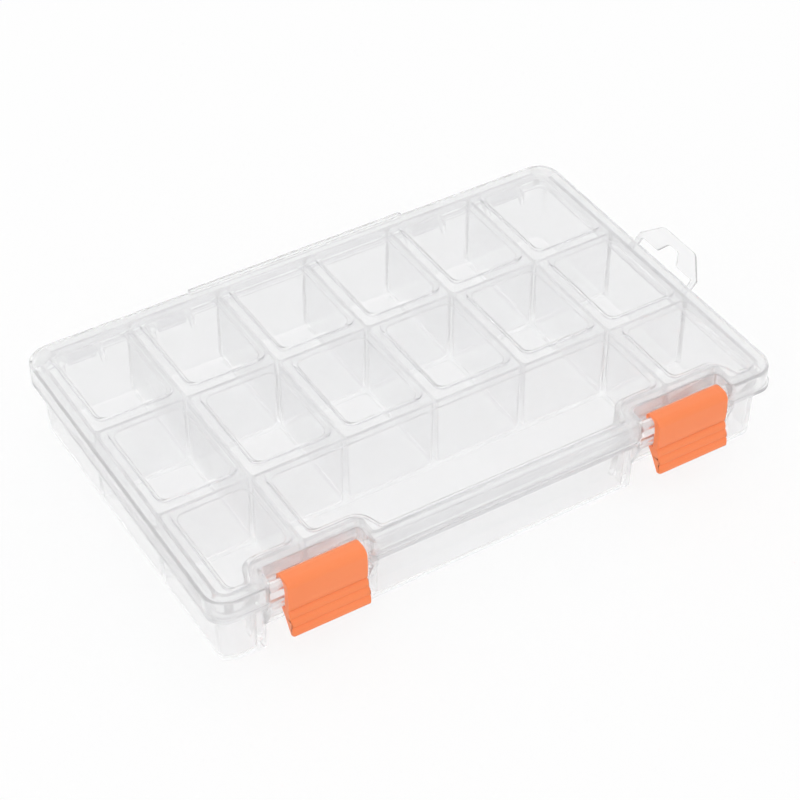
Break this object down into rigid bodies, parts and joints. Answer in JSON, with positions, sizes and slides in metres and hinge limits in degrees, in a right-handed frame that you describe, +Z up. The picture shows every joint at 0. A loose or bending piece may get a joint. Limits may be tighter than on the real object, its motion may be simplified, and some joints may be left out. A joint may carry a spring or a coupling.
{
  "type": "compartment storage box",
  "caption": "Shallow translucent plastic organizer box with fixed compartments, a hinged lid with raised panels, orange snap latches on the front edge and a folding hang tab on one side.",
  "frame": {"origin": "centre of the tray's flat underside, on the surface it stands on", "axes": "+Z up, +X to the right along the long side seen from the latches, +Y from the latches towards the hinge"},
  "size_m": [0.2398, 0.1562, 0.0372],
  "materials": {
    "clear_tray": "translucent milky polypropylene",
    "clear_lid": "translucent milky polypropylene",
    "orange_latch": "semi-gloss moulded"
  },
  "bodies": {
    "tray": {"tray": "clear_tray", "row_walls": "clear_tray", "column_walls": "clear_tray"},
    "lid": {"lid": "clear_lid"},
    "latch_left": {"latch_left": "orange_latch"},
    "latch_right": {"latch_right": "orange_latch"},
    "hang_tab": {"hang_tab": "clear_tray"}
  },
  "joints": [
    {"name": "lid_hinge", "type": "hinge", "parent": "tray", "child": "lid", "pos_m": [0, 0.0734, 0.023], "axis": [-1, 0, 0], "range_deg": [0, 165]},
    {"name": "latch_left_hinge", "type": "hinge", "parent": "lid", "child": "latch_left", "pos_m": [-0.074, -0.0722, 0.0305], "axis": [-1, 0, 0], "range_deg": [0, 110]},
    {"name": "latch_right_hinge", "type": "hinge", "parent": "lid", "child": "latch_right", "pos_m": [0.074, -0.0722, 0.0305], "axis": [-1, 0, 0], "range_deg": [0, 110]},
    {"name": "hang_tab_hinge", "type": "hinge", "parent": "tray", "child": "hang_tab", "pos_m": [0.1149, 0, 0.0246], "axis": [0, 1, 0], "range_deg": [-35, 130]}
  ]
}
